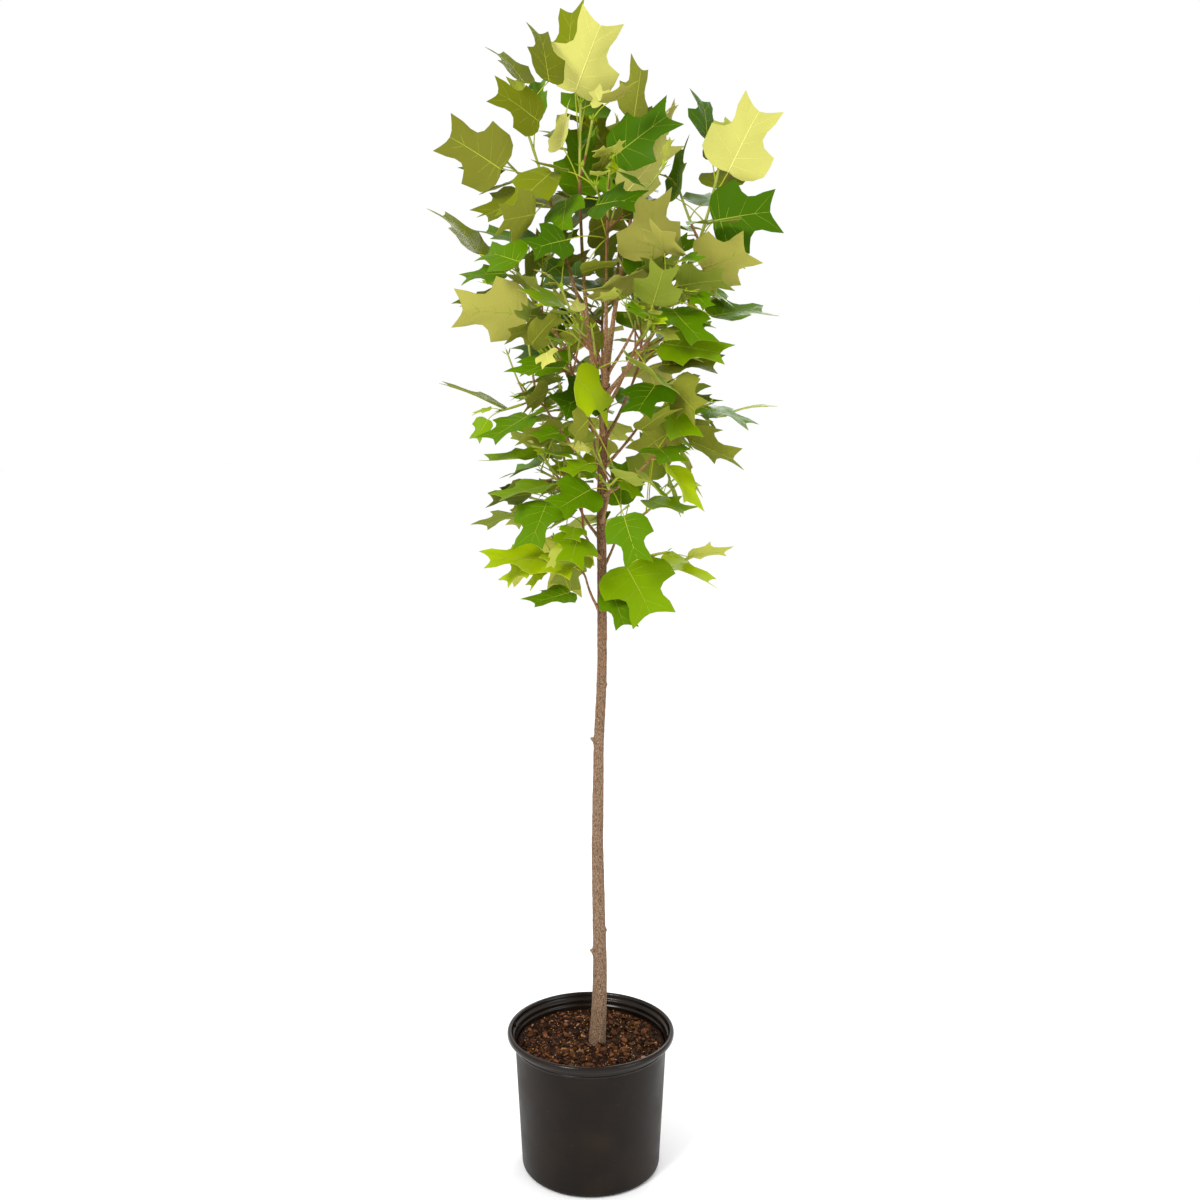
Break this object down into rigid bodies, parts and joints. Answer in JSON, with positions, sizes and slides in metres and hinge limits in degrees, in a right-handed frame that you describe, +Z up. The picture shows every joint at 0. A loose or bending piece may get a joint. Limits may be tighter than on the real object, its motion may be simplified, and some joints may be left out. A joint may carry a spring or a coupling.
{
  "type": "potted tulip poplar",
  "caption": "Young tulip poplar grown as a slender standard tree, with lobed leaves on upswept boughs, in a round black nursery pot of bark mix.",
  "frame": {"origin": "middle of the pot's flat underside, on the ground", "axes": "+Z up along the trunk, +X to the right and +Y away from the side that the picture shows"},
  "size_m": [0.5849, 0.5001, 2.0639],
  "materials": {
    "pot_plastic": "moulded black polyethylene, matt, scuffed and a little dusty",
    "bark_mix": "loose composted bark chips, damp and matt",
    "grey_bark": "smooth young bark, grey-brown with pale pores",
    "young_bark": "thin reddish-brown bark of this year and last",
    "foliage": "living leaves, glossy above and matt grey-green below"
  },
  "bodies": {
    "root": {"pot": "pot_plastic", "bark_mix": "bark_mix", "trunk": "grey_bark", "leader": "young_bark", "left_leader": "young_bark", "right_leader": "young_bark", "right_bough": "young_bark", "right_shoot": "young_bark", "left_bough": "young_bark", "left_spur": "young_bark", "left_arm": "young_bark", "right_arm": "young_bark", "right_low_arm": "young_bark", "left_low_spur": "young_bark", "right_low_twig": "young_bark", "left_low_twig": "young_bark", "front_leader": "young_bark", "back_leader": "young_bark", "front_bough": "young_bark", "front_right_bough": "young_bark", "back_bough": "young_bark", "back_left_bough": "young_bark", "back_right_bough": "young_bark", "front_mid_arm": "young_bark", "back_mid_arm": "young_bark", "front_low_arm": "young_bark", "back_low_arm": "young_bark", "back_left_low_arm": "young_bark", "crown_top": "foliage", "crown_left": "foliage", "crown_right": "foliage", "crown_far_right": "foliage", "right_spray": "foliage", "left_spray": "foliage", "left_spur_leaves": "foliage", "left_arm_leaves": "foliage", "right_arm_leaves": "foliage", "right_low_arm_leaves": "foliage", "left_low_spur_leaves": "foliage", "right_low_leaves": "foliage", "left_low_leaves": "foliage", "front_crown": "foliage", "back_crown": "foliage", "front_spray": "foliage", "front_right_spray": "foliage", "back_spray": "foliage", "back_left_spray": "foliage", "back_right_spray": "foliage", "front_mid_leaves": "foliage", "back_mid_leaves": "foliage", "front_low_leaves": "foliage", "back_low_leaves": "foliage", "back_left_low_leaves": "foliage"}
  },
  "joints": []
}
